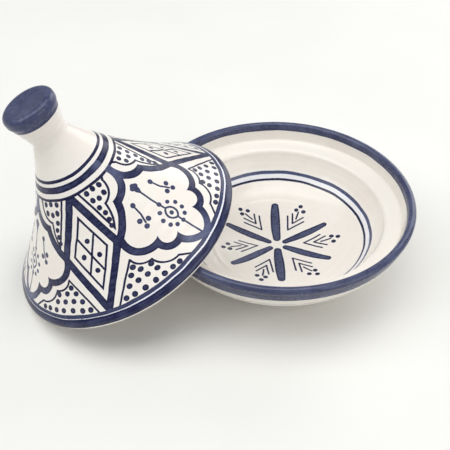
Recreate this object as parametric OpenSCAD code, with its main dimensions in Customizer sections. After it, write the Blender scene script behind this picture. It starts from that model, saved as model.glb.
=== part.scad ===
// Tagine pot: a round serving dish with a rolled rim, and its conical lid
// leaning against it. The origin is the centre of the dish's foot on the table.

/* [Dish] */
// Outer diameter of the dish over its rolled rim
dish_d = 230; // [190:1:280]
// Height of the dish from the table to the top of its rim
dish_h = 66; // [54:1:82]
// Thickness of the rolled rim
rim_t = 7; // [5:0.5:9]
// Thickness of the upright wall that rings the lid seat
gallery_t = 10; // [8:0.5:13]
// Drop from the top of the rim to the seat ledge
ledge_drop = 16; // [12:0.5:20]
// Width of the seat ledge
ledge_w = 14; // [10:0.5:18]
// Fall of the seat ledge towards the basin
ledge_fall = 2; // [0:0.5:4]
// Thickness of the clay under the seat ledge
shoulder_t = 10; // [8:0.5:14]
// Diameter of the gently curved floor of the basin
floor_d = 120; // [90:1:140]
// Rise of that floor from its centre to its edge
floor_rise = 7; // [4:0.5:10]
// Thickness of the floor at its centre
floor_t = 6; // [5:0.5:10]

/* [Foot] */
// Outer diameter of the foot ring
foot_d = 124; // [100:1:150]
// Width of the foot ring
foot_w = 8; // [6:0.5:12]
// Height of the hollow under the floor, inside the foot ring
foot_h = 3; // [2:0.5:5]

/* [Lid] */
// Gap all round between the lid's bead and the gallery wall when the pot is closed
seat_clear = 4; // [1:0.5:6]
// Thickness of the round bead along the lid's edge
bead_t = 9; // [7:0.5:11]
// Height of the lid from its bead to the top of the knob
lid_h = 148; // [124:1:180]
// Thickness of the lid's wall
lid_wall = 7; // [5:0.5:9]
// Inward sag of the lid's side between the bead and the neck
lid_sag = 6; // [0:0.5:10]
// Thickness of solid clay from the top of the hollow to the top of the knob
crown_t = 46; // [38:1:56]
// Height of the rounded top of the hollow
hollow_round = 9; // [6:0.5:12]

/* [Knob] */
// Diameter of the neck under the knob
neck_d = 29; // [24:0.5:35]
// Height of the neck's narrowest place under the top of the knob
neck_drop = 30.5; // [25:0.5:37]
// Diameter of the knob's cap
cap_d = 44; // [36:0.5:54]
// Thickness of the cap's edge
cap_t = 11; // [8:0.5:13]
// Rounding of the cap's edge
cap_round = 4.4; // [2:0.1:5]
// Depth of the shallow dip in the cap's top
cap_dip = 1; // [0:0.5:2]

/* [Lean] */
// How far the lid's raised edge reaches in over the dish from the dish's outer edge
lean_reach = 72; // [50:1:90]
// Gap left between the lid's bead and the dish's rim where they cross
lean_clear = 0.3; // [0.2:0.1:1]

/* [Hidden] */
$fn = 128;

// Steps in a curved stretch of a profile and in the hollow's side, and in the search for the lean
curve_steps = 12;
hollow_steps = 24;
lean_step = 0.5;
lean_passes = 24;
steepest_lean = 60;

// Dish: radii and heights that follow from the sizes above
dish_r = dish_d / 2;
rim_r = rim_t / 2;
rim_ring_r = dish_r - rim_r;
rim_ring_z = dish_h - rim_r;
gallery_r = dish_r - gallery_t;
ledge_z = dish_h - ledge_drop;
basin_r = gallery_r - ledge_w;
floor_r = floor_d / 2;
floor_z = foot_h + floor_t;
foot_r = foot_d / 2;
corner_r = 3;
foot_round = 1.5;
belly_in = 4;

// Share of the way from the floor's edge to the basin's mouth where the wall turns up
wall_turn = 0.6;

// Radius of the sphere that the basin's floor is part of, and its slope at the floor's edge
floor_sphere_r = (pow(floor_r, 2) + pow(floor_rise, 2)) / (2 * floor_rise);
floor_slope = floor_r / (floor_sphere_r - floor_rise);
turn_run = wall_turn * (basin_r - floor_r);

// Lid: the lid's own origin is the centre of its bead, with its axis along +Z
bead_r = bead_t / 2;
lid_r = gallery_r - seat_clear;
bead_ring_r = lid_r - bead_r;
lid_top = lid_h - bead_r;
neck_z = lid_top - neck_drop;
neck_r = neck_d / 2;
cap_r = cap_d / 2;
neck_bend = 3;

// Angles round the bead where the outer and inner faces leave it, and where the cap's underside starts
bead_out = 40;
bead_back = 165;
cap_under = -35;
hollow_top = lid_top - crown_t;

// Points along an arc, from angle a to angle b
function arc(c, r, a, b) =
    [for (i = [0:curve_steps]) c + r * [cos(a + (b - a) * i / curve_steps), sin(a + (b - a) * i / curve_steps)]];

// Points along a curve that leaves p towards q and arrives at s from q
function bend(p, q, s) =
    [for (i = [0:curve_steps]) let (u = i / curve_steps) pow(1 - u, 2) * p + 2 * u * (1 - u) * q + pow(u, 2) * s];

// Points along a curve that leaves p towards q and arrives at t from s
function sweep(p, q, s, t) =
    [for (i = [0:curve_steps]) let (u = i / curve_steps)
        pow(1 - u, 3) * p + 3 * u * pow(1 - u, 2) * q + 3 * pow(u, 2) * (1 - u) * s + pow(u, 3) * t];

// The lid's side, from the bead up to the neck: its outer face, and the inner face one wall in
side_foot = [lid_r - bead_r * (1 - cos(bead_out)), bead_r * sin(bead_out)];
side_head = [neck_r, neck_z];
side_run = side_head - side_foot;
side_in = [-side_run.y, side_run.x] / norm(side_run);
function side_at(u) = side_foot + u * side_run + 4 * lid_sag * u * (1 - u) * side_in;
function inner_at(u) = side_at(u) + lid_wall * side_in;

// Inner face of the hollow, from its rounded top down to the bead
bead_in = bead_ring_r + bead_r * cos(bead_back);
hollow_side = [for (i = [hollow_steps:-1:0]) let (p = inner_at(i / hollow_steps))
    if (p.y < hollow_top - hollow_round && p.x < bead_in - 1) p];
hollow_head = hollow_side[0];

// Place of the lid's centre when it leans by angle t: its bead touches the table
// and its raised edge reaches in over the dish
function lean_x(t) = -(dish_r - lean_reach) - lid_r * cos(t);
function lean_z(t) = bead_ring_r * sin(t) + bead_r;

// Point on the bead's centre line at angle b, seen from the centre line of the dish's rim:
// its offset outwards and upwards
function bead_from_rim(t, b) =
    [norm([lean_x(t) + bead_ring_r * cos(b) * cos(t), bead_ring_r * sin(b)]) - rim_ring_r,
     lean_z(t) + bead_ring_r * cos(b) * sin(t) - rim_ring_z];

// Gap between the two centre lines at lean t, negative when the bead passes under the rim
function lean_gap(t) =
    let (offsets = [for (b = [0:lean_step:180]) bead_from_rim(t, b)],
         gaps = [for (o = offsets) norm(o)],
         closest = min(gaps))
    [for (i = [0:len(gaps) - 1]) if (gaps[i] == closest) sign(offsets[i].y) * closest][0];

// Lean at which the bead rests on the rim with the clearance left between them
function find_lean(low, high, passes) =
    passes == 0 ? high :
    let (mid = (low + high) / 2)
    lean_gap(mid) > rim_r + bead_r + lean_clear
        ? find_lean(low, mid, passes - 1)
        : find_lean(mid, high, passes - 1);

lean = find_lean(0, steepest_lean, lean_passes);

// Half of the dish's section, from the middle of its underside round to the middle of its floor
module dish_section() {
    ledge_in_z = ledge_z - ledge_fall;
    wall_top = [dish_r - rim_r / 2, rim_ring_z - rim_r];
    polygon(concat(
        [[0, foot_h], [foot_r - foot_w - foot_h / 2, foot_h]],
        arc([foot_r - foot_w + foot_round, foot_round], foot_round, 180, 270),
        arc([foot_r - foot_round, foot_round], foot_round, 270, 360),
        sweep([foot_r, foot_h], [basin_r - belly_in, floor_z + shoulder_t],
              [dish_r - shoulder_t / 2, ledge_z - shoulder_t], wall_top),
        arc([rim_ring_r, rim_ring_z], rim_r, -40, 200),
        arc([gallery_r - corner_r, ledge_z + corner_r], corner_r, 0, -90),
        bend([basin_r + corner_r, ledge_in_z + ledge_fall * corner_r / ledge_w],
             [basin_r, ledge_in_z],
             [basin_r - corner_r / 3, ledge_in_z - corner_r]),
        bend([basin_r - corner_r / 2, ledge_in_z - 1.5 * corner_r],
             [floor_r + turn_run, floor_z + floor_rise + turn_run * floor_slope],
             [floor_r, floor_z + floor_rise]),
        [for (i = [curve_steps - 1:-1:0]) let (x = floor_r * i / curve_steps)
            [x, floor_z + floor_sphere_r - sqrt(pow(floor_sphere_r, 2) - pow(x, 2))]]
    ));
}

// Half of the lid's section, from the bead up over the knob and down inside the hollow
module lid_section() {
    polygon(concat(
        arc([bead_ring_r, 0], bead_r, bead_back, 360 + bead_out),
        [for (i = [1:curve_steps - 1]) side_at(i / curve_steps)],
        bend(side_head + [neck_bend / 2, -neck_bend], side_head, side_head + [neck_bend / 3, neck_bend]),
        arc([cap_r - cap_round, lid_top - cap_t + cap_round], cap_round, cap_under, 0),
        arc([cap_r - cap_round, lid_top - cap_round], cap_round, 0, 90),
        [[0, lid_top - cap_dip]],
        [for (i = [curve_steps:-1:1]) let (q = 90 * i / curve_steps)
            [hollow_head.x * cos(q), hollow_head.y + (hollow_top - hollow_head.y) * sin(q)]],
        hollow_side
    ));
}

// Serving dish with its rolled rim, lid seat, basin and foot ring
module dish() {
    color("ivory") rotate_extrude() dish_section();
}

// Conical lid with its bead, neck and knob, leaning on the dish
module lid() {
    color("lightsteelblue")
        translate([lean_x(lean), 0, lean_z(lean)])
            rotate([0, -lean, 0])
                rotate_extrude() lid_section();
}

dish();
lid();
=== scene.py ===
"""Builds the looks of a tagine pot: the turned and painted dish, the lid leaning on it, and the studio."""

import math

import bpy
import numpy as np
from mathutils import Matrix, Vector


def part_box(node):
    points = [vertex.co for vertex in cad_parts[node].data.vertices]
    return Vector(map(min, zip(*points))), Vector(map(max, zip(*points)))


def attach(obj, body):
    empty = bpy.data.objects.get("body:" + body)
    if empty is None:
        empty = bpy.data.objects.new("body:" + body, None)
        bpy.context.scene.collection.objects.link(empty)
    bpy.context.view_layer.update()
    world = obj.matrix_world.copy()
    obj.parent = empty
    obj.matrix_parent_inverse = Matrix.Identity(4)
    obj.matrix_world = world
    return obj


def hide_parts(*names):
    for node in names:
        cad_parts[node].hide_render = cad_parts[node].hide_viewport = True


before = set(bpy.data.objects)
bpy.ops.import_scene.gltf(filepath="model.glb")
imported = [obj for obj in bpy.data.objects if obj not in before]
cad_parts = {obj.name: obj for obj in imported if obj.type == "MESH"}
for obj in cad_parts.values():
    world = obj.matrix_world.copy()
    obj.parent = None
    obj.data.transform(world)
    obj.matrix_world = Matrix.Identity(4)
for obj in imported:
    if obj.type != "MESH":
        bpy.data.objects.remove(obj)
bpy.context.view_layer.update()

bl_info = {
    "name": "Tagine Pot",
    "version": (1, 0, 0),
    "blender": (4, 5, 0),
    "location": "3D View > Sidebar > Tagine Pot",
    "description": "Turns and paints a tagine dish and the lid that leans on it",
    "category": "Object",
}

MM = 0.001

# Steps round a turned pot, along an arc and along a long curve of its outline
ROUND_STEPS = 192
ARC_STEPS = 10
LONG_STEPS = 64

# Points closer than this are one point
MERGE_GAP = 0.00001
# Steeper folds than this stay sharp under smooth shading
SHARP_FOLD = math.radians(50)


# ---------------------------------------------------------------- the frame


def turning_axis(node):
    """A point on the axis of a turned CAD node, and the axis: the line that every face's normal crosses."""
    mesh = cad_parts[node].data
    count = len(mesh.polygons)
    centres, normals, areas = np.zeros(3 * count), np.zeros(3 * count), np.zeros(count)
    mesh.polygons.foreach_get("center", centres)
    mesh.polygons.foreach_get("normal", normals)
    mesh.polygons.foreach_get("area", areas)
    centres, normals = centres.reshape(-1, 3), normals.reshape(-1, 3)
    rows = np.hstack([np.cross(centres, normals), normals * MM]) * np.sqrt(areas)[:, None]
    line = np.linalg.svd(rows, full_matrices=False)[2][-1]
    axis, moment = Vector(line[:3]), Vector(line[3:]) * MM
    if axis.z < 0:
        axis, moment = -axis, -moment
    return axis.cross(moment) / axis.length_squared, axis.normalized()


def lid_measures():
    """The lid's foot point on its own axis, that axis, its height along it and its radius round it."""
    point, axis = turning_axis("lid")
    corners = [v.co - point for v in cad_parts["lid"].data.vertices]
    heights = [c.dot(axis) for c in corners]
    radius = max((c - h * axis).length for c, h in zip(corners, heights))
    return point + min(heights) * axis, axis, max(heights) - min(heights), radius


LID_FOOT, LID_AXIS, LID_HEIGHT, LID_RADIUS = lid_measures()
LEAN = math.atan2(-LID_AXIS.x, LID_AXIS.z)
DISH_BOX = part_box("dish")


# ---------------------------------------------------------------- settings


def length(name, value, description):
    """A size that a user can change, in metres."""
    return bpy.props.FloatProperty(
        name=name, description=description, default=value, min=0, precision=4,
        unit="LENGTH", subtype="DISTANCE",
    )


def colour(name, value, description):
    """A colour that a user can change."""
    return bpy.props.FloatVectorProperty(
        name=name, description=description, default=value, min=0, max=1, size=3, subtype="COLOR"
    )


def turn(name, degrees, description):
    """An angle that a user can change, given in degrees."""
    return bpy.props.FloatProperty(
        name=name, description=description, default=math.radians(degrees), unit="ROTATION", subtype="ANGLE"
    )


class PotDishSizes(bpy.types.PropertyGroup):
    """Sizes of the turned dish."""

    radius: length("Radius", DISH_BOX[1].y, "From the axis to the outside of the rim")
    height: length("Height", DISH_BOX[1].z, "From the table to the top of the rim")
    rim: length("Rim", 7 * MM, "Thickness of the rolled rim")
    gallery: length("Gallery", 10 * MM, "Thickness of the upright wall round the lid seat")
    ledge_drop: length("Ledge drop", 16 * MM, "From the top of the rim down to the seat ledge")
    ledge_width: length("Ledge width", 14 * MM, "Width of the seat ledge")
    ledge_fall: length("Ledge fall", 2 * MM, "Fall of the ledge towards the basin")
    shoulder: length("Shoulder", 10 * MM, "Clay under the seat ledge")
    floor: length("Floor", 60 * MM, "Radius of the gently curved floor")
    floor_rise: length("Floor rise", 7 * MM, "Rise of the floor from its centre to its edge")
    floor_clay: length("Floor clay", 6 * MM, "Thickness of the floor at its centre")
    foot: length("Foot", 62 * MM, "Outer radius of the foot ring")
    foot_width: length("Foot width", 8 * MM, "Width of the foot ring")
    foot_hollow: length("Foot hollow", 3 * MM, "Height of the hollow inside the foot ring")


class PotLidSizes(bpy.types.PropertyGroup):
    """Sizes of the turned lid, along its own axis."""

    radius: length("Radius", LID_RADIUS, "From the axis to the outside of the bead")
    height: length("Height", LID_HEIGHT, "From the bottom of the bead to the top of the knob")
    bead: length("Bead", 9 * MM, "Thickness of the round bead along the edge")
    wall: length("Wall", 7 * MM, "Thickness of the wall")
    sag: length("Sag", 6 * MM, "Inward sag of the side between the bead and the neck")
    crown: length("Crown", 46 * MM, "Solid clay between the hollow and the top of the knob")
    neck: length("Neck", 14.5 * MM, "Radius of the neck")
    neck_drop: length("Neck drop", 30.5 * MM, "From the top of the knob down to the neck")
    cap: length("Cap", 22 * MM, "Radius of the knob's cap")
    cap_edge: length("Cap edge", 11 * MM, "Thickness of the cap's edge")
    cap_round: length("Cap rounding", 4.4 * MM, "Rounding of the cap's edge")
    cap_dip: length("Cap dip", 1 * MM, "Depth of the shallow dip in the cap")


class PotGlaze(bpy.types.PropertyGroup):
    """Colours of the glaze, the cobalt and the clay."""

    cream: colour("Cream", (0.88, 0.845, 0.775), "Tin glaze where it lies thick")
    blush: colour("Blush", (0.865, 0.79, 0.73), "Tin glaze where the clay shows through")
    milk: colour("Milk", (0.80, 0.83, 0.93), "Tin glaze that the cobalt has run into")
    ink: colour("Ink", (0.004, 0.005, 0.042), "Cobalt where it lies thick")
    wash: colour("Wash", (0.082, 0.115, 0.27), "Cobalt where the brush ran thin")
    clay: colour("Clay", (0.52, 0.33, 0.22), "Bare clay under the foot")


class PotBrush(bpy.types.PropertyGroup):
    """Sizes of the brushwork."""

    broad: length("Broad line", 6.2 * MM, "Width of the broad lines on the lid")
    fine: length("Fine line", 1.8 * MM, "Width of the fine lines")
    dot: length("Dot", 4.1 * MM, "Diameter of a dot")
    shake: length("Shake", 0.5 * MM, "How far the painter's hand strays")


class PotView(bpy.types.PropertyGroup):
    """The camera's place round the pot."""

    heading: turn("Heading", -98.7, "Direction from the pot to the camera, seen from above")
    rise: turn("Rise", 40.7, "Height of the camera over the table, as an angle")
    distance: length("Distance", 0.7466, "From the camera to the point that it looks at")
    lens: bpy.props.FloatProperty(
        name="Lens", description="Focal length in millimetres", default=63.4, min=10
    )


# ---------------------------------------------------------------- outlines


def arc(middle, radius, start, end):
    """Points along an arc from one angle to another, in degrees."""
    turns = [math.radians(start + (end - start) * i / ARC_STEPS) for i in range(ARC_STEPS + 1)]
    return [Vector(middle) + radius * Vector((math.cos(t), math.sin(t))) for t in turns]


def curve(*pulls, steps=ARC_STEPS):
    """Points along a smooth curve from the first pull to the last, drawn towards those between."""
    points = []
    for i in range(steps + 1):
        row = [Vector(p) for p in pulls]
        while len(row) > 1:
            row = [a.lerp(b, i / steps) for a, b in zip(row, row[1:])]
        points.append(row[0])
    return points


def thrown(points, depth, pitch):
    """A stretch of an outline with the shallow rings that a potter's fingers leave in it."""
    whole = sum((b - a).length for a, b in zip(points, points[1:]))
    run = 0
    ringed = [points[0]]
    for before, here, after in zip(points, points[1:], points[2:]):
        run += (here - before).length
        along = (after - before).normalized()
        fade = min(1, run / pitch, (whole - run) / pitch)
        ringed.append(here + fade * depth * math.sin(math.tau * run / pitch) * Vector((along.y, -along.x)))
    return ringed + [points[-1]]


def dish_outline(s):
    """Half of the dish's section, from the middle of its underside round to the middle of its floor."""
    rim, corner, foot_round, belly_in = s.rim / 2, 3 * MM, 1.5 * MM, 4 * MM
    rim_ring = Vector((s.radius - rim, s.height - rim))
    gallery = s.radius - s.gallery
    ledge = s.height - s.ledge_drop
    basin = gallery - s.ledge_width
    lip = ledge - s.ledge_fall
    floor = s.foot_hollow + s.floor_clay
    sphere = (s.floor**2 + s.floor_rise**2) / (2 * s.floor_rise)
    wall_turn = 0.6 * (basin - s.floor)
    turn_height = floor + s.floor_rise + wall_turn * s.floor / (sphere - s.floor_rise)
    belly = curve(
        (s.foot, s.foot_hollow),
        (basin - belly_in, floor + s.shoulder),
        (s.radius - s.shoulder / 2, ledge - s.shoulder),
        (s.radius - rim / 2, rim_ring.y - rim),
        steps=LONG_STEPS,
    )
    wall = curve(
        (basin - corner / 2, lip - 1.5 * corner),
        (s.floor + wall_turn, turn_height),
        (s.floor, floor + s.floor_rise),
        steps=LONG_STEPS,
    )
    floor_radii = [s.floor * i / LONG_STEPS for i in range(LONG_STEPS - 1, -1, -1)]
    bowl = [Vector((r, floor + sphere - math.sqrt(sphere**2 - r**2))) for r in floor_radii]
    # A low ridge runs round the floor where the potter's rib was lifted
    ridge, ridge_height = s.floor - 2.6 * MM, 0.3 * MM
    for point in bowl:
        point.y += ridge_height * math.exp(-(((point.x - ridge) / MM) ** 2) / 1.4)
    hollow = s.foot - s.foot_width
    return [
        *curve((0, s.foot_hollow), (hollow - s.foot_hollow / 2, s.foot_hollow)),
        *arc((hollow + foot_round, foot_round), foot_round, 180, 270),
        *arc((s.foot - foot_round, foot_round), foot_round, 270, 360),
        *thrown(belly, 0.05 * MM, 8.5 * MM),
        *arc(rim_ring, rim, -40, 200),
        *arc((gallery - corner, ledge + corner), corner, 0, -90),
        *curve(
            (basin + corner, lip + s.ledge_fall * corner / s.ledge_width),
            (basin, lip),
            (basin - corner / 3, lip - corner),
        ),
        *thrown(wall, 0.05 * MM, 6.5 * MM),
        *thrown(bowl, 0.03 * MM, 9 * MM),
    ]


def lid_side(s):
    """The lid's outer side from the bead up to the neck, and the direction square to it, inwards."""
    bead, leave = s.bead / 2, math.radians(40)
    foot = Vector((s.radius - bead * (1 - math.cos(leave)), bead * math.sin(leave)))
    run = Vector((s.neck, s.height - bead - s.neck_drop)) - foot
    inwards = Vector((-run.y, run.x)).normalized()
    shares = [i / LONG_STEPS for i in range(LONG_STEPS + 1)]
    return [foot + u * run + 4 * s.sag * u * (1 - u) * inwards for u in shares], inwards


def lid_outline(s):
    """Half of the lid's section, from inside the bead up over the knob and down inside the hollow."""
    bead, neck_bend = s.bead / 2, 3 * MM
    top = s.height - bead
    hollow_top, hollow_round = top - s.crown, 9 * MM
    cap_in = s.cap - s.cap_round
    side, inwards = lid_side(s)
    head = side[-1]
    under_cap = (s.cap - s.cap_round * 0.2, top - s.cap_edge + s.cap_round * 0.45)
    neck = curve(
        head + Vector((neck_bend / 2, -neck_bend)),
        head,
        head + Vector((neck_bend / 3, neck_bend)),
        under_cap,
        steps=LONG_STEPS // 2,
    )
    cap_dip = [(cap_in, top), (cap_in * 0.8, top), (cap_in * 0.5, top - s.cap_dip), (0, top - s.cap_dip)]
    bead_ring, bead_back = Vector((s.radius - bead, 0)), 165
    bead_in = bead_ring.x + bead * math.cos(math.radians(bead_back))
    inner = [p + s.wall * inwards for p in reversed(side)]
    inner = [p for p in inner if p.y < hollow_top - hollow_round and p.x < bead_in - 1 * MM]
    quarter = [math.pi / 2 * i / ARC_STEPS for i in range(ARC_STEPS, 0, -1)]
    rise = hollow_top - inner[0].y
    return [
        *arc(bead_ring, bead, bead_back, 400),
        *thrown(side[1:-1], 0.08 * MM, 9.5 * MM),
        *thrown(neck, 0.12 * MM, 6 * MM),
        *arc((cap_in, top - s.cap_edge + s.cap_round), s.cap_round, -30, 0),
        *arc((cap_in, top - s.cap_round), s.cap_round, 0, 90),
        *thrown(curve(*cap_dip)[1:], 0.05 * MM, 5 * MM),
        *[Vector((inner[0].x * math.cos(q), inner[0].y + rise * math.sin(q))) for q in quarter],
        *thrown(inner, 0.15 * MM, 8 * MM),
    ]


# ---------------------------------------------------------------- turning


def clear_selection():
    """Deselects everything, so that the next operator acts on its own piece alone."""
    if bpy.context.object and bpy.context.object.mode != "OBJECT":
        bpy.ops.object.mode_set(mode="OBJECT")
    bpy.ops.object.select_all(action="DESELECT")


def turned(name, outline, closed=False):
    """A pot turned on the wheel: a point drawn along the outline, and the line spun round the Z axis."""
    clear_selection()
    bpy.ops.mesh.primitive_plane_add(size=MM, location=(0, 0, 0))
    piece = bpy.context.object
    piece.name = piece.data.name = name
    bpy.ops.object.mode_set(mode="EDIT")
    bpy.ops.mesh.select_mode(type="VERT")
    bpy.ops.mesh.select_all(action="SELECT")
    bpy.ops.mesh.merge(type="CENTER")
    bpy.ops.transform.translate(value=(outline[0].x, 0, outline[0].y))
    stops = outline + outline[:1] if closed else outline
    for here, there in zip(stops, stops[1:]):
        step = there - here
        bpy.ops.mesh.extrude_region_move(TRANSFORM_OT_translate={"value": (step.x, 0, step.y)})
    bpy.ops.mesh.select_all(action="SELECT")
    bpy.ops.mesh.remove_doubles(threshold=MERGE_GAP)
    bpy.ops.mesh.select_all(action="SELECT")
    bpy.ops.mesh.spin(steps=ROUND_STEPS, angle=math.tau, center=(0, 0, 0), axis=(0, 0, 1))
    bpy.ops.mesh.select_all(action="SELECT")
    bpy.ops.mesh.remove_doubles(threshold=MERGE_GAP)
    bpy.ops.mesh.normals_make_consistent(inside=False)
    bpy.ops.object.mode_set(mode="OBJECT")
    bpy.ops.object.shade_smooth_by_angle(angle=SHARP_FOLD)
    return piece


def glaze_faces(piece, materials, choose):
    """Gives the piece its materials, and each face the one that choose picks by its place and normal."""
    for material in materials:
        piece.data.materials.append(material)
    for face in piece.data.polygons:
        out = Vector((face.center.x, face.center.y, 0)).normalized().dot(face.normal)
        face.material_index = choose(face.center.z, out, face.normal.z)


# ---------------------------------------------------------------- sums in nodes


def padded(value):
    """The value, with a third number if it is a flat vector."""
    return value.to_3d() if isinstance(value, Vector) else value


class Sums:
    """Adds nodes to a tree, each after those that it reads, and hands on their outputs."""

    def __init__(self, tree):
        self.tree = tree

    def node(self, kind, inputs=None, **settings):
        """A node with its settings and its inputs, which are outputs of other nodes or plain values."""
        made = self.tree.nodes.new(kind)
        for name, value in settings.items():
            setattr(made, name, value)
        for key, value in (inputs or {}).items():
            if isinstance(value, bpy.types.NodeSocket):
                self.tree.links.new(value, made.inputs[key])
            else:
                made.inputs[key].default_value = value
        return made

    def math(self, operation, *values, **settings):
        """The result of a sum of plain numbers."""
        made = self.node("ShaderNodeMath", dict(enumerate(values)), operation=operation, **settings)
        return made.outputs[0]

    def chain(self, operation, values):
        """The result of the same sum done to several numbers in turn."""
        result = values[0]
        for value in values[1:]:
            result = self.math(operation, result, value)
        return result

    def plus(self, *values):
        """Several numbers added up."""
        return self.chain("ADD", values)

    def minus(self, first, second):
        """The first number less the second."""
        return self.math("SUBTRACT", first, second)

    def times(self, *values):
        """Several numbers multiplied."""
        return self.chain("MULTIPLY", values)

    def least(self, *values):
        """The smallest of several numbers."""
        return self.chain("MINIMUM", values)

    def most(self, *values):
        """The largest of several numbers."""
        return self.chain("MAXIMUM", values)

    def vector(self, operation, *values):
        """The result of a sum of vectors: a vector, or a number for a length, a distance or a dot product."""
        values = [padded(value) for value in values]
        made = self.node("ShaderNodeVectorMath", dict(enumerate(values)), operation=operation)
        return made.outputs["Value" if operation in ("LENGTH", "DISTANCE", "DOT_PRODUCT") else "Vector"]

    def scaled(self, point, factor):
        """A vector times a plain number."""
        made = self.node("ShaderNodeVectorMath", {0: point, "Scale": factor}, operation="SCALE")
        return made.outputs["Vector"]

    def join(self, x, y, z=0.0):
        """A vector from its three numbers."""
        return self.node("ShaderNodeCombineXYZ", {0: x, 1: y, 2: z}).outputs[0]

    def split(self, point):
        """The three numbers of a vector."""
        return self.node("ShaderNodeSeparateXYZ", {0: point}).outputs

    def ease(self, value, low, high, start=0.0, end=1.0):
        """A smooth step from start to end as value goes from low to high."""
        inputs = {"Value": value, "From Min": low, "From Max": high, "To Min": start, "To Max": end}
        return self.node("ShaderNodeMapRange", inputs, interpolation_type="SMOOTHSTEP").outputs["Result"]

    def noise(self, point, size, detail=2.0, rough=0.5):
        """Soft noise whose lumps are about size across."""
        inputs = {"Vector": point, "Scale": 1 / size, "Detail": detail, "Roughness": rough}
        return self.node("ShaderNodeTexNoise", inputs)

    def blend(self, share, first, second):
        """A mix of two colours."""
        made = self.node("ShaderNodeMix", {0: share, 6: first, 7: second}, data_type="RGBA")
        return made.outputs[2]

    def steps(self, share, values, top):
        """One of the values, none over top, each for its own part of the way as share goes from 0 to 1."""
        made = self.node("ShaderNodeValToRGB", {0: share})
        ramp = made.color_ramp
        ramp.interpolation = "CONSTANT"
        for i, value in enumerate(values):
            place = i / len(values)
            stop = ramp.elements[i] if i < 2 else ramp.elements.new(place)
            stop.position = place
            stop.color = (value / top, value / top, value / top, 1)
        return self.times(made.outputs["Color"], top)

    def group(self, tree, **inputs):
        """A node group with its inputs set, as a dictionary of its outputs."""
        made = self.node("ShaderNodeGroup", node_tree=tree)
        for name, value in inputs.items():
            socket = made.inputs[name.replace("_", " ").title()]
            if isinstance(value, bpy.types.NodeSocket):
                self.tree.links.new(value, socket)
            else:
                socket.default_value = padded(value)
        return made.outputs


def shader_group(name, inputs, outputs):
    """An empty node group with named sockets: its sums, its inputs and a function that sets its outputs."""
    tree = bpy.data.node_groups.new(name, "ShaderNodeTree")
    for in_out, sockets in (("INPUT", inputs), ("OUTPUT", outputs)):
        for label, kind in sockets.items():
            tree.interface.new_socket(name=label, in_out=in_out, socket_type="NodeSocket" + kind)
    sums = Sums(tree)
    start = sums.node("NodeGroupInput")

    def finish(**results):
        end = sums.node("NodeGroupOutput")
        for label, value in results.items():
            tree.links.new(value, end.inputs[label.replace("_", " ").title()])
        return tree

    return sums, start.outputs, finish


# ---------------------------------------------------------------- shared effects


def hand_shake():
    """Group: moves a point a little, as a painter's hand strays from a true line."""
    sums, given, finish = shader_group(
        "Hand Shake", {"Point": "Vector", "Reach": "Float", "Size": "Float"}, {"Point": "Vector"}
    )
    share = sums.math("DIVIDE", 1.0, given["Size"])
    noise = sums.node("ShaderNodeTexNoise", {"Vector": given["Point"], "Scale": share, "Detail": 1.0})
    stray = sums.vector("SUBTRACT", noise.outputs["Color"], (0.5, 0.5, 0.5))
    # The noise itself strays by about a third either way
    reach = sums.times(given["Reach"], 3.0)
    return finish(point=sums.vector("ADD", given["Point"], sums.scaled(stray, reach)))


def brush_stroke():
    """Group: distance to the edge of a straight brush stroke with round ends, pressed wider in its middle."""
    sums, given, finish = shader_group(
        "Brush Stroke",
        {"Point": "Vector", "Start": "Vector", "End": "Vector", "Half Width": "Float", "Belly": "Float"},
        {"Distance": "Float"},
    )
    reach = sums.vector("SUBTRACT", given["Point"], given["Start"])
    line = sums.vector("SUBTRACT", given["End"], given["Start"])
    along = sums.vector("DOT_PRODUCT", reach, line)
    whole = sums.vector("DOT_PRODUCT", line, line)
    share = sums.math("DIVIDE", along, whole, use_clamp=True)
    gap = sums.vector("DISTANCE", reach, sums.scaled(line, share))
    middling = sums.times(share, sums.minus(1.0, share))
    swell = sums.times(given["Belly"], middling, 4.0)
    return finish(distance=sums.minus(sums.minus(gap, given["Half Width"]), swell))


def brush_run():
    """Group: how dry the brush has run: 0 for most of the way round the pot, and 1 just short of the join."""
    sums, given, finish = shader_group("Brush Run", {"Angle": "Float", "Join": "Float"}, {"Dryness": "Float"})
    gone = sums.math("DIVIDE", sums.minus(given["Angle"], given["Join"]), math.tau)
    share = sums.math("WRAP", gone, 1.0, 0.0)
    return finish(dryness=sums.ease(share, 0.945, 0.985))


def cobalt_coat():
    """Group: cover, depth and relief of cobalt that is brushed inside a given edge."""
    sums, given, finish = shader_group(
        "Cobalt Coat",
        {"Distance": "Float", "Point": "Vector", "Streaks": "Vector", "Thin": "Float"},
        {"Cover": "Float", "Depth": "Float", "Relief": "Float", "Bleed": "Float"},
    )
    grain = sums.noise(given["Point"], 1.1, 2.0).outputs["Fac"]
    ragged = sums.math("MULTIPLY_ADD", grain, 0.36, -0.18)
    edge = sums.plus(given["Distance"], ragged)
    cover = sums.ease(edge, 0.16, -0.16)
    inside = sums.ease(edge, -0.3, -1.6)
    cloud = sums.noise(given["Point"], 14.0, 2.0).outputs["Fac"]
    cloudy = sums.ease(cloud, 0.36, 0.68)
    streak = sums.noise(given["Streaks"], 1.0, 3.0, 0.6).outputs["Fac"]
    streaky = sums.ease(streak, 0.4, 0.66)
    thin_middle = sums.times(inside, sums.math("MULTIPLY_ADD", cloudy, 0.12, 0.03))
    thin_streak = sums.times(inside, streaky, 0.14)
    loss = sums.math("MULTIPLY_ADD", given["Thin"], 0.6, sums.plus(thin_middle, thin_streak))
    depth = sums.math("SUBTRACT", 1.0, loss, use_clamp=True)
    ridge = sums.math("MULTIPLY_ADD", streak, 0.05, 0.02)
    relief = sums.times(cover, ridge)
    bleed = sums.ease(given["Distance"], 2.2, 0.0)
    return finish(cover=cover, depth=depth, relief=relief, bleed=bleed)


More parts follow.
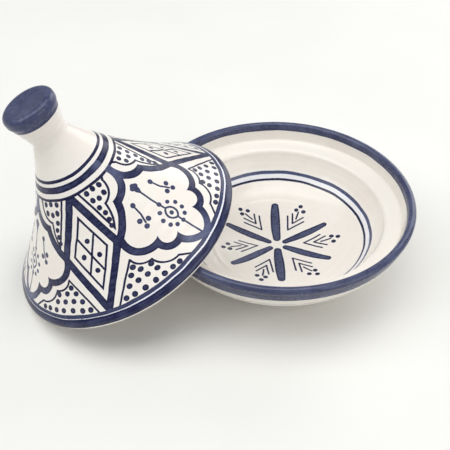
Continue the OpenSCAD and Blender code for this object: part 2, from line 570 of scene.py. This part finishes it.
def tin_glaze():
    """Group: colour and unevenness of the white tin glaze."""
    sums, given, finish = shader_group(
        "Tin Glaze",
        {"Point": "Vector", "Cream": "Color", "Blush": "Color"},
        {"Colour": "Color", "Relief": "Float", "Roughness": "Float"},
    )
    cloud = sums.noise(given["Point"], 38.0, 3.0, 0.55).outputs["Fac"]
    patch = sums.ease(cloud, 0.38, 0.66)
    mottle = sums.noise(given["Point"], 5.0, 3.0, 0.6).outputs["Fac"]
    share = sums.math("MULTIPLY_ADD", sums.ease(mottle, 0.45, 0.75), 0.25, sums.times(patch, 0.6))
    glaze = sums.blend(share, given["Cream"], given["Blush"])
    speck = sums.node("ShaderNodeTexVoronoi", {"Vector": given["Point"], "Scale": 0.11}).outputs["Distance"]
    pin = sums.ease(speck, 0.06, 0.02, 0.0, 0.35)
    glaze = sums.blend(pin, glaze, (0.30, 0.22, 0.15, 1.0))
    wave = sums.noise(given["Point"], 16.0, 2.0).outputs["Fac"]
    peel = sums.noise(given["Point"], 1.6, 2.0).outputs["Fac"]
    relief = sums.math("MULTIPLY_ADD", wave, 0.2, sums.times(peel, 0.01))
    rough = sums.math("MULTIPLY_ADD", mottle, 0.1, 0.13)
    return finish(colour=glaze, relief=relief, roughness=rough)


def shared_groups():
    """The shared node groups by name, each made once."""
    makers = {
        "Hand Shake": hand_shake,
        "Brush Stroke": brush_stroke,
        "Brush Run": brush_run,
        "Cobalt Coat": cobalt_coat,
        "Tin Glaze": tin_glaze,
    }
    for name, maker in makers.items():
        if name not in bpy.data.node_groups:
            maker()
    return bpy.data.node_groups


# ---------------------------------------------------------------- painting


def dabs(sums, point, centres, radius):
    """Distance to the edge of the nearest of several round dabs."""
    gaps = [sums.vector("DISTANCE", point, centre) for centre in centres]
    return sums.minus(sums.least(*gaps), radius)


def strokes(sums, point, lines, half_width, belly=0.0):
    """Distance to the edge of the nearest of several straight strokes."""
    stroke = bpy.data.node_groups["Brush Stroke"]
    shape = {"point": point, "half_width": half_width, "belly": belly}
    return sums.least(*[sums.group(stroke, start=a, end=b, **shape)["Distance"] for a, b in lines])


def drawn(sums, distance, width):
    """Distance to a line of that width along the edge that distance measures from."""
    return sums.minus(sums.math("ABSOLUTE", distance), width / 2)


def band(sums, place, low, high):
    """Distance to a band between two places."""
    return drawn(sums, sums.minus(place, (low + high) / 2), high - low)


def beyond(sums, point, start, end):
    """How far a point lies beyond the line from start to end, on its left as the line comes down."""
    line = (end - start).normalized()
    normal = Vector((line.y, -line.x))
    return sums.minus(sums.vector("DOT_PRODUCT", point, normal), start.dot(normal))


def circle_through(a, b, c):
    """Centre and radius of the circle through three points."""
    ab, ac = b - a, c - a
    twice = 2 * (ab.x * ac.y - ab.y * ac.x)
    offset = Vector((
        ac.y * ab.length_squared - ab.y * ac.length_squared,
        ab.x * ac.length_squared - ac.x * ab.length_squared,
    )) / twice
    return a + offset, offset.length


def scooped(sums, point, edge, arcs):
    """A side whose arcs sag inwards: how far a point lies outside it."""
    circles = [circle_through(*points) for points in arcs]
    return sums.most(edge, *[sums.minus(radius, sums.vector("DISTANCE", point, c)) for c, radius in circles])


def lobed(sums, point, edge, arcs):
    """A side whose arcs swell outwards: how far a point lies outside it."""
    circles = [circle_through(*points) for points in arcs]
    return sums.least(edge, *[sums.minus(sums.vector("DISTANCE", point, c), radius) for c, radius in circles])


def pot_material(name):
    """A new node material: it, its sums and its Principled shader."""
    material = bpy.data.materials.new(name)
    material.use_nodes = True
    sums = Sums(material.node_tree)
    return material, sums, material.node_tree.nodes["Principled BSDF"]


def object_point(sums, location=(0, 0, 0), rotation=(0, 0, 0)):
    """The shaded point in millimetres, from an origin of its own."""
    place = sums.node("ShaderNodeTexCoord").outputs["Object"]
    inputs = {"Vector": place, "Location": location, "Rotation": rotation, "Scale": (MM, MM, MM)}
    return sums.node("ShaderNodeMapping", inputs, vector_type="TEXTURE").outputs[0]


def rgba(value):
    """A colour setting as a node's colour."""
    return (*value, 1.0)


def polar(sums, point):
    """A point's distance from the axis, its angle round it and its height."""
    x, y, z = sums.split(point)
    radius = sums.vector("LENGTH", sums.vector("MULTIPLY", point, (1, 1, 0)))
    return radius, sums.math("ARCTAN2", y, x), z


def glazed(sums, shader, point, glaze, coat=None, run=0.18, gloss=0.28):
    """Links the tin glaze, and the cobalt over it if there is a coat, to the shader.

    run is how far the cobalt has run into the glaze round it.
    """
    tin_group = bpy.data.node_groups["Tin Glaze"]
    tin = sums.group(tin_group, point=point, cream=rgba(glaze.cream), blush=rgba(glaze.blush))
    shade, relief, rough = tin["Colour"], tin["Relief"], tin["Roughness"]
    if coat:
        shade = sums.blend(sums.times(coat["Bleed"], run), shade, rgba(glaze.milk))
        cobalt = sums.blend(coat["Depth"], rgba(glaze.wash), rgba(glaze.ink))
        cover = sums.times(coat["Cover"], sums.math("MULTIPLY_ADD", coat["Depth"], 0.1, 0.9))
        shade = sums.blend(cover, shade, cobalt)
        relief = sums.plus(relief, coat["Relief"])
        rough = sums.math("MULTIPLY_ADD", coat["Cover"], 0.1, rough)
    tree = sums.tree
    tree.links.new(shade, shader.inputs["Base Color"])
    tree.links.new(rough, shader.inputs["Roughness"])
    bump = sums.node("ShaderNodeBump", {"Height": relief, "Strength": 1.0, "Distance": MM})
    tree.links.new(bump.outputs["Normal"], shader.inputs["Normal"])
    shader.inputs["IOR"].default_value = 1.5
    shader.inputs["Specular IOR Level"].default_value = gloss
    shader.inputs["Coat Weight"].default_value = gloss * 0.5
    shader.inputs["Coat Roughness"].default_value = 0.05


def plain_glaze(glaze):
    """Material: the white tin glaze where nothing is painted."""
    material, sums, shader = pot_material("Plain Glaze")
    glazed(sums, shader, object_point(sums), glaze)
    return material


def bare_clay(glaze):
    """Material: the wiped foot, where the clay was left bare to stand in the kiln."""
    material, sums, shader = pot_material("Bare Clay")
    point = object_point(sums)
    grit = sums.noise(point, 0.9, 4.0, 0.7).outputs["Fac"]
    stain = sums.noise(point, 14.0, 3.0).outputs["Fac"]
    light = sums.blend(sums.ease(stain, 0.35, 0.7), rgba(glaze.clay), rgba(glaze.blush))
    shade = sums.blend(sums.ease(grit, 0.62, 0.75, 0.0, 0.5), light, (0.2, 0.12, 0.08, 1.0))
    tree = material.node_tree
    tree.links.new(shade, shader.inputs["Base Color"])
    tree.links.new(sums.math("MULTIPLY_ADD", grit, 0.2, 0.7), shader.inputs["Roughness"])
    bump = sums.node("ShaderNodeBump", {"Height": grit, "Strength": 0.6, "Distance": 0.3 * MM})
    tree.links.new(bump.outputs["Normal"], shader.inputs["Normal"])
    return material


def at_angle(sums, radius, angle):
    """The flat point at that radius and angle."""
    return sums.join(
        sums.times(radius, sums.math("COSINE", angle)),
        sums.times(radius, sums.math("SINE", angle)),
    )


def in_sixths(sums, angle, first, slips):
    """A point's share of the way round six like motifs, and its angle from the middle line of its own.

    The first motif stands at the angle first, and slips says how far on the painter set each, in degrees.
    """
    sixth = math.radians(60)
    gone = sums.minus(angle, math.radians(first) - sixth / 2)
    share = sums.math("WRAP", sums.math("DIVIDE", gone, math.tau), 1.0, 0.0)
    middle = sums.steps(share, [sixth / 2 + math.radians(slip) for slip in slips], sixth)
    return share, sums.math("WRAP", sums.minus(gone, middle), sixth / 2, -sixth / 2)


def petals(sums, radius, angle):
    """Distance to the edge of six petals, each a broad stroke as wide as it came out."""
    share, off = in_sixths(sums, angle, 81.3, (0, 3.4, 6.5, 1.2, 2.5, -3))
    half_width = sums.steps(share, (3.4, 2.5, 2.7, 3.4, 2.7, 2.7), 10.0)
    return strokes(sums, at_angle(sums, radius, off), [(Vector((8.2, 0)), Vector((49, 0)))], half_width, 1.1)


def sprigs(sums, radius, angle, brush):
    """Distance to the edge of six sprigs, each two nested vees, a stem and three berries."""
    half_width = brush.fine / MM * 0.45
    share, off = in_sixths(sums, angle, 51.3, (0, 4.5, 7.5, 9.5, 4, 2))
    inset = sums.steps(share, (2.2, 1, 6, 2, 1, 0), 10.0)
    point = at_angle(sums, sums.plus(radius, inset), off)
    arms = [(Vector((24, 0)), Vector((39.5, 8.6))), (Vector((33, 0)), Vector((44, 5.8)))]
    vees = strokes(sums, sums.vector("ABSOLUTE", point), arms, half_width)
    stem = strokes(sums, point, [(Vector((39.5, -0.4)), Vector((48, 1.4)))], half_width)
    berries = dabs(sums, point, [Vector((49.4, 4.4)), Vector((54.8, 2.4)), Vector((50.2, -2.8))], 2.1)
    return sums.least(vees, stem, berries)


def painted_dish(glaze, brush, sizes):
    """Material: the dish's glaze with its blue rim, two rings, six petals and six sprigs."""
    material, sums, shader = pot_material("Painted Dish Glaze")
    groups = shared_groups()
    true_point = object_point(sums)
    point = sums.group(groups["Hand Shake"], point=true_point, reach=brush.shake / MM, size=26.0)["Point"]
    radius, angle, height = polar(sums, point)
    rim_radius, rim_top = sizes.radius / MM, sizes.height / MM

    # The rim's band comes lower down outside than inside
    rim_edge = sums.ease(radius, rim_radius - 7, rim_radius - 3, rim_top - 6.55, rim_top - 15.55)
    rim = sums.minus(rim_edge, height)

    # Two rings on the basin's wall, and the star on its floor
    outer_ring, inner_ring = band(sums, radius, 79.7, 81.6), band(sums, radius, 75.2, 76.8)
    petal = petals(sums, radius, angle)
    star = sums.least(petal, sprigs(sums, radius, angle, brush))
    painted = sums.least(rim, outer_ring, inner_ring, star)

    # Cobalt lies thin where the brush ran dry, on the outer ring and within the petals. The rim is painted
    # lighter, partly as thin cobalt and partly as a painted reflection of the lights on its roll, but it is
    # dark in a line under the roll, partly for cobalt pooled in the groove there and partly as painted shade
    # in that groove
    dry = sums.group(groups["Brush Run"], angle=angle, join=math.radians(-150))["Dryness"]
    ring_wash = sums.ease(outer_ring, 0.6, 0.0, 0.0, 0.6)
    petal_wash = sums.ease(petal, -0.9, -2.2, 0.0, 0.34)
    # The groove under the rim's roll, where pooled cobalt and painted shade make a dark line
    pooled_and_shaded_groove = sums.times(
        sums.ease(height, rim_top - 5.15, rim_top - 6.75),
        sums.ease(height, rim_top - 8.55, rim_top - 7.35),
        sums.ease(radius, rim_radius - 6, rim_radius - 5),
    )
    # Lighter rim: thin cobalt and painted reflection; darker groove line: pooled cobalt and painted shade
    rim_thin_and_reflection = sums.times(sums.ease(rim, 0.2, -0.2), sums.ease(pooled_and_shaded_groove, 0.2, 0.8, 0.3, 0.0))
    thin = sums.most(sums.times(dry, 0.5), ring_wash, petal_wash, rim_thin_and_reflection)

    round_way = sums.times(angle, 9.0)
    streaks = sums.join(round_way, sums.times(height, 0.55), sums.times(radius, 0.55))
    coat = sums.group(groups["Cobalt Coat"], distance=painted, point=true_point, streaks=streaks, thin=thin)
    ring_gap = sums.math("ABSOLUTE", sums.minus(radius, 78.2))
    glazed(sums, shader, true_point, glaze, coat, sums.ease(ring_gap, 3.4, 2.0, 0.18, 0.9), gloss=0.36)
    return material


class LidSpread:
    """The lid's cone laid out flat, in millimetres: places on it are given as degrees round and height up."""

    def __init__(self, sizes):
        side = lid_side(sizes)[0]
        self.heights = [p.y / MM for p in side]
        self.radii = [p.x / MM for p in side]
        run = side[-1] - side[0]
        self.slope = -run.x / run.length

    def place(self, degrees, height):
        """A point on the flat spread, with the motif's middle line along Y."""
        out = float(np.interp(height, self.heights, self.radii)) / self.slope
        bend = math.radians(degrees) * self.slope
        return Vector((out * math.sin(bend), out * math.cos(bend)))

    def places(self, *points):
        """Several such points."""
        return [self.place(*p) for p in points]


def spread_point(sums, spread, radius, angle, middle):
    """The shaded point on the flat spread, from the nearest of three motifs, the first at angle middle."""
    third = math.radians(120)
    off = sums.math("WRAP", sums.minus(angle, middle), third / 2, -third / 2)
    bend = sums.times(off, spread.slope)
    out = sums.math("DIVIDE", radius, spread.slope)
    down, across = sums.split(at_angle(sums, out, bend))[:2]
    return sums.join(across, down)


def diamond(sums, spread, point, brush):
    """Distance beyond a diamond's edge, to its broad line, and to the lines and dots inside it."""
    fine, dot = brush.fine / MM, brush.dot / MM / 2 + 0.1
    folded = sums.vector("ABSOLUTE", point)
    top, side, bottom = spread.places((0, 76), (20.8, 39.5), (0, 8))
    edge = sums.most(beyond(sums, folded, top, side), beyond(sums, folded, side, bottom))
    broad = drawn(sums, edge, brush.broad / MM)
    lozenge = drawn(sums, sums.plus(edge, 7.7), fine)
    crossing = [spread.places((-7.2, 50), (4.6, 29.3)), spread.places((7.2, 50), (-4.6, 29.3))]
    bars = strokes(sums, point, crossing, fine / 2)
    dots = dabs(sums, point, spread.places((0.3, 47.5), (-6.0, 39), (5.6, 37.6), (0.4, 29.7)), dot)
    return edge, broad, sums.least(lozenge, bars, dots)


def cartouche(sums, spread, folded, brush):
    """Distance to a cartouche's broad line: each side has two sagging arcs above and three lobes below."""
    top, side, bottom = spread.places((0, 76), (38, 39.8), (0, 8))
    shoulder, notch, low_notch = spread.places((21.4, 58), (21.5, 24.8), (10.7, 17.8))
    sags = [(top, spread.place(8.5, 62.2), shoulder), (shoulder, spread.place(26.6, 50), side)]
    lobes = [
        (side, spread.place(32.8, 27.8), notch),
        (notch, spread.place(17.6, 18.7), low_notch),
        (low_notch, spread.place(7.4, 12), bottom),
    ]
    above = scooped(sums, folded, beyond(sums, folded, top, side), sags)
    below = lobed(sums, folded, beyond(sums, folded, side, bottom), lobes)
    return drawn(sums, sums.most(above, below), brush.broad / MM)


def dotted_fields(sums, spread, folded, diamond_edge, brush):
    """Distance to the fine line and the dots of the fields between a cartouche and the diamonds."""
    dot = brush.dot / MM / 2
    corner, peak, low = spread.places((15, 74), (29.4, 62), (36.3, 45.5))
    start, dip, end = spread.places((38.8, 27), (28.8, 20.5), (17, 12.2))
    sags = [(corner, spread.place(18.8, 66.6), peak), (peak, spread.place(31.6, 53), low)]
    lobes = [(start, spread.place(34.6, 21.8), dip), (dip, spread.place(24, 14.2), end)]
    slope = sums.most(beyond(sums, folded, corner, peak), beyond(sums, folded, peak, low))
    above = scooped(sums, folded, slope, sags)
    below = lobed(sums, folded, beyond(sums, folded, start, end), lobes)

    # The upper field ends at the diamond's upper side, and the lower one at its lower side
    middle_line = sums.minus(spread.place(37, 36).y, sums.split(folded)[1])
    above = sums.least(above, middle_line, sums.minus(diamond_edge, 6.7))
    low_side = sums.times(beyond(sums, folded, *spread.places((38.7, 27.4), (54.6, 7.5))), -1.0)
    below = sums.least(below, low_side)
    outline = drawn(sums, sums.most(above, below), brush.fine / MM)
    upper = spread.places(
        (39.5, 73.3), (30.5, 73.6), (21.8, 73), (38, 68), (31, 67), (23.4, 67.8),
        (36.5, 62), (34.5, 57.5), (35, 53), (36, 49),
    )
    lower = spread.places(
        (39.6, 22.8), (42.6, 19.2), (36.6, 19.4), (30.5, 18.6), (46, 14.6), (40.6, 15), (35, 14.9),
        (29.3, 14.6), (50, 9.9), (45.3, 9.9), (39.5, 10), (33.5, 10), (28.3, 9.9), (23.2, 9.9), (19, 9.6),
    )
    return sums.least(outline, dabs(sums, folded, upper, dot), dabs(sums, folded, lower, dot * 1.22))


def eye_flower(sums, spread, folded, brush):
    """Distance to a cartouche's flower: a bud on a stem, an eye ringed with dots, and two side sprigs."""
    fine, dot = brush.fine / MM, brush.dot / MM / 2
    pupil = spread.place(0, 29.5)
    eye = sums.minus(sums.vector("DISTANCE", folded, pupil + Vector((-2.1, 0))), 6.6)
    eye = drawn(sums, eye, fine)
    stems = strokes(
        sums,
        folded,
        [
            spread.places((0, 52), (0, 34.6)),
            spread.places((0, 24.4), (0, 9)),
            spread.places((13.2, 49.4), (14, 43)),
            spread.places((14, 43), (16.2, 37.6)),
        ],
        fine * 0.45,
    )
    ring = spread.places((0, 38.3), (5, 35), (7.9, 30.7), (7.1, 26), (4.3, 23), (0, 21.7))
    dots = dabs(sums, folded, [pupil, *ring], dot * 0.95)
    berries = spread.places((13.2, 49.5), (18.5, 40.3), (12.9, 37.9), (17.5, 35.6))
    berries = dabs(sums, folded, berries, dot * 1.08)
    bud = dabs(sums, folded, spread.places((0, 57.4), (2, 56.2)), 2.2)
    calyx = strokes(sums, folded, [spread.places((0, 56), (0, 51.8))], 1.2, 1.2)
    return sums.least(eye, stems, dots, berries, bud, calyx)


def painted_lid(glaze, brush, sizes):
    """Material: the lid's glaze with its blue knob and rings, diamonds, cartouches and dotted fields."""
    material, sums, shader = pot_material("Painted Lid Glaze")
    groups = shared_groups()
    bead_middle = LID_FOOT + LID_AXIS * sizes.bead / 2
    true_point = object_point(sums, bead_middle, (0, -LEAN, 0))
    point = sums.group(groups["Hand Shake"], point=true_point, reach=brush.shake / MM, size=24.0)["Point"]
    radius, angle, height = polar(sums, point)
    spread = LidSpread(sizes)

    # Rings, the bead's band, which nearly meets the lowest ring on one side, and the knob
    thick_ring = band(sums, height, 80.5, 84.9)
    fine_rings = [band(sums, height, low, high) for low, high in ((87.2, 89.3), (75.4, 77.3), (5.8, 7.9))]
    facing = sums.math("COSINE", sums.plus(angle, math.radians(140)))
    bead = band(sums, sums.minus(height, sums.ease(facing, 0.3, 0.9, 0.0, 0.55)), -1.0, 4.95)
    banding = sums.least(thick_ring, *fine_rings, bead, sums.minus(130.4, height))

    # The painter shared the lid out by eye, and one side came out a little further on
    drift = sums.most(sums.math("COSINE", sums.plus(angle, math.radians(120))), 0.0)
    shared = sums.math("MULTIPLY_ADD", drift, math.radians(-1.6), angle)
    flower_point = sums.vector("ABSOLUTE", spread_point(sums, spread, radius, shared, math.radians(-40)))
    frame_point = sums.vector("ABSOLUTE", spread_point(sums, spread, radius, shared, math.radians(-38.8)))
    diamond_point = spread_point(sums, spread, radius, shared, math.radians(20))

    # Between the rings, three cartouches and, between them, three diamonds
    edge, diamond_broad, diamond_fine = diamond(sums, spread, diamond_point, brush)
    frame_line = cartouche(sums, spread, frame_point, brush)
    fields = dotted_fields(sums, spread, flower_point, edge, brush)
    flower = eye_flower(sums, spread, flower_point, brush)
    motifs = sums.least(diamond_broad, frame_line, diamond_fine, fields, flower)
    painted = sums.least(banding, sums.most(motifs, band(sums, height, 6.6, 76.1)))

    # Cobalt lies thin where the thick ring ends, at the cartouches' tips, in the flowers, on the lowest
    # ring and on the knob
    dry = sums.group(groups["Brush Run"], angle=angle, join=math.radians(-38))["Dryness"]
    on_ring = sums.times(dry, sums.ease(thick_ring, 0.3, 0.0, 0.0, 0.6))
    low_tip = sums.ease(sums.vector("DISTANCE", flower_point, spread.place(0, 10)), 21.0, 9.0)
    high_tip = sums.ease(sums.vector("DISTANCE", flower_point, spread.place(0, 74)), 15.0, 5.0)
    tips = sums.times(sums.most(low_tip, high_tip), sums.ease(frame_line, 0.3, 0.0, 0.0, 0.62))
    in_flower = sums.ease(flower, 0.3, 0.0, 0.0, 0.3)
    low_ring = sums.ease(sums.math("ABSOLUTE", sums.minus(height, 6.9)), 1.2, 1.0, 0.0, 0.28)
    on_knob = sums.ease(height, 130.0, 131.0, 0.0, 0.26)
    thin = sums.most(on_ring, tips, in_flower, low_ring, on_knob)

    round_way = sums.times(angle, 7.0)
    streaks = sums.join(round_way, sums.times(height, 0.5), sums.times(radius, 0.35))
    coat = sums.group(groups["Cobalt Coat"], distance=painted, point=true_point, streaks=streaks, thin=thin)
    bead_gap = sums.math("ABSOLUTE", sums.minus(height, 5.2))
    glazed(sums, shader, true_point, glaze, coat, sums.ease(bead_gap, 2.6, 1.4, 0.18, 0.95))
    return material


# ---------------------------------------------------------------- operators


class POT_OT_dish(bpy.types.Operator):
    """Turn the dish, glaze it and paint its rim, rings, petals and sprigs"""

    bl_idname = "pot.dish"
    bl_label = "Dish"

    def execute(self, context):
        scene = context.scene
        sizes, glaze, brush = scene.pot_dish, scene.pot_glaze, scene.pot_brush
        shared_groups()
        piece = turned("painted_dish", dish_outline(sizes))
        bare, unpainted = 0.35 * MM, sizes.height - 22 * MM

        def choose(height, out, up):
            if height < bare:
                return 2
            return 1 if height < unpainted and (out > 0 or up < -0.5) else 0

        glaze_faces(piece, [painted_dish(glaze, brush, sizes), plain_glaze(glaze), bare_clay(glaze)], choose)
        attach(piece, "dish")
        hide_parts("dish")
        return {"FINISHED"}


class POT_OT_lid(bpy.types.Operator):
    """Turn the lid, glaze and paint it, and lean it on the dish"""

    bl_idname = "pot.lid"
    bl_label = "Lid"

    def execute(self, context):
        scene = context.scene
        sizes, glaze, brush = scene.pot_lid, scene.pot_glaze, scene.pot_brush
        shared_groups()
        piece = turned("painted_lid", lid_outline(sizes), closed=True)
        hollow_top = sizes.height - sizes.bead / 2 - sizes.crown + MM

        def choose(height, out, up):
            inside = out < 0 and height < hollow_top
            return 1 if inside or (height < 0 and up < -0.9) else 0

        glaze_faces(piece, [painted_lid(glaze, brush, sizes), plain_glaze(glaze)], choose)
        piece.rotation_euler = (0, -LEAN, 0)
        piece.location = LID_FOOT + LID_AXIS * sizes.bead / 2
        clear_selection()
        piece.select_set(True)
        context.view_layer.objects.active = piece
        bpy.ops.object.transform_apply(location=True, rotation=True, scale=True)
        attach(piece, "lid")
        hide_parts("lid")
        return {"FINISHED"}


class POT_OT_stage(bpy.types.Operator):
    """Lay the pale table, hang the soft lights and place the camera"""

    bl_idname = "pot.stage"
    bl_label = "Studio"

    def execute(self, context):
        scene = context.scene
        self.table()
        self.lights(scene)
        self.camera(scene)
        return {"FINISHED"}

    def table(self):
        """A wide pale table."""
        clear_selection()
        bpy.ops.mesh.primitive_plane_add(size=12, location=(0, 0, 0))
        table = bpy.context.object
        table.name = "table"
        material, sums, shader = pot_material("Pale Table")
        point = object_point(sums)
        cloud = sums.noise(point, 160.0, 2.0).outputs["Fac"]
        shade = sums.blend(sums.ease(cloud, 0.3, 0.7), (0.82, 0.818, 0.79, 1), (0.84, 0.838, 0.81, 1))
        sums.tree.links.new(shade, shader.inputs["Base Color"])
        shader.inputs["Roughness"].default_value = 0.6
        shader.inputs["Specular IOR Level"].default_value = 0.2
        table.data.materials.append(material)

    def lights(self, scene):
        """A bright room, with a broad soft light overhead, one on the left and two low on the right."""
        world = bpy.data.worlds.new("Studio")
        world.use_nodes = True
        sky = world.node_tree.nodes["Background"]
        sky.inputs["Color"].default_value = (0.98, 0.99, 1.0, 1)
        sky.inputs["Strength"].default_value = 0.34
        scene.world = world
        for name, place, power in (
            ("ceiling", (0, 0, 2), 17.3),
            ("left", (-1.29, 0, 1.53), 15.2),
            ("back right", (1.28, 1.28, 0.85), 13.6),
            ("front right", (1.28, -1.28, 0.85), 10.8),
        ):
            lamp = bpy.data.lights.new(name, "AREA")
            lamp.size = 1.4
            lamp.energy = power
            holder = bpy.data.objects.new(name, lamp)
            holder.location = place
            holder.rotation_euler = (-Vector(place)).to_track_quat("-Z", "Y").to_euler()
            scene.collection.objects.link(holder)
        scene.view_settings.view_transform = "Standard"

    def camera(self, scene):
        """The camera, a little above the pot."""
        view = scene.pot_view
        aim = Vector((-40.7 * MM, 44.0 * MM, 0))
        flat = Vector((math.cos(view.heading), math.sin(view.heading), 0))
        off = view.distance * (math.cos(view.rise) * flat + math.sin(view.rise) * Vector((0, 0, 1)))
        data = bpy.data.cameras.new("camera")
        data.lens = view.lens
        holder = bpy.data.objects.new("camera", data)
        holder.location = aim + off
        holder.rotation_euler = (-off).to_track_quat("-Z", "Y").to_euler()
        scene.collection.objects.link(holder)
        scene.camera = holder


class POT_PT_sidebar(bpy.types.Panel):
    """The pot's pieces and sizes in the sidebar"""

    bl_idname = "POT_PT_sidebar"
    bl_label = "Tagine Pot"
    bl_space_type = "VIEW_3D"
    bl_region_type = "UI"
    bl_category = "Tagine Pot"

    def draw(self, context):
        layout = self.layout
        for operator in OPERATORS:
            layout.operator(operator.bl_idname)
        for settings in SETTINGS:
            box = layout.box()
            box.label(text=settings.replace("_", " ").title())
            group = getattr(context.scene, settings)
            for name in group.__annotations__:
                box.prop(group, name)


OPERATORS = (POT_OT_dish, POT_OT_lid, POT_OT_stage)
SETTINGS = {
    "pot_dish": PotDishSizes,
    "pot_lid": PotLidSizes,
    "pot_glaze": PotGlaze,
    "pot_brush": PotBrush,
    "pot_view": PotView,
}


def register():
    for group in SETTINGS.values():
        bpy.utils.register_class(group)
    for operator in OPERATORS:
        bpy.utils.register_class(operator)
    bpy.utils.register_class(POT_PT_sidebar)
    for name, group in SETTINGS.items():
        setattr(bpy.types.Scene, name, bpy.props.PointerProperty(type=group))


def unregister():
    for name in SETTINGS:
        delattr(bpy.types.Scene, name)
    bpy.utils.unregister_class(POT_PT_sidebar)
    for operator in reversed(OPERATORS):
        bpy.utils.unregister_class(operator)
    for group in reversed(list(SETTINGS.values())):
        bpy.utils.unregister_class(group)


def main():
    """Builds the pot and its studio."""
    register()
    bpy.ops.pot.dish()
    bpy.ops.pot.lid()
    bpy.ops.pot.stage()


if __name__ == "__main__":
    main()
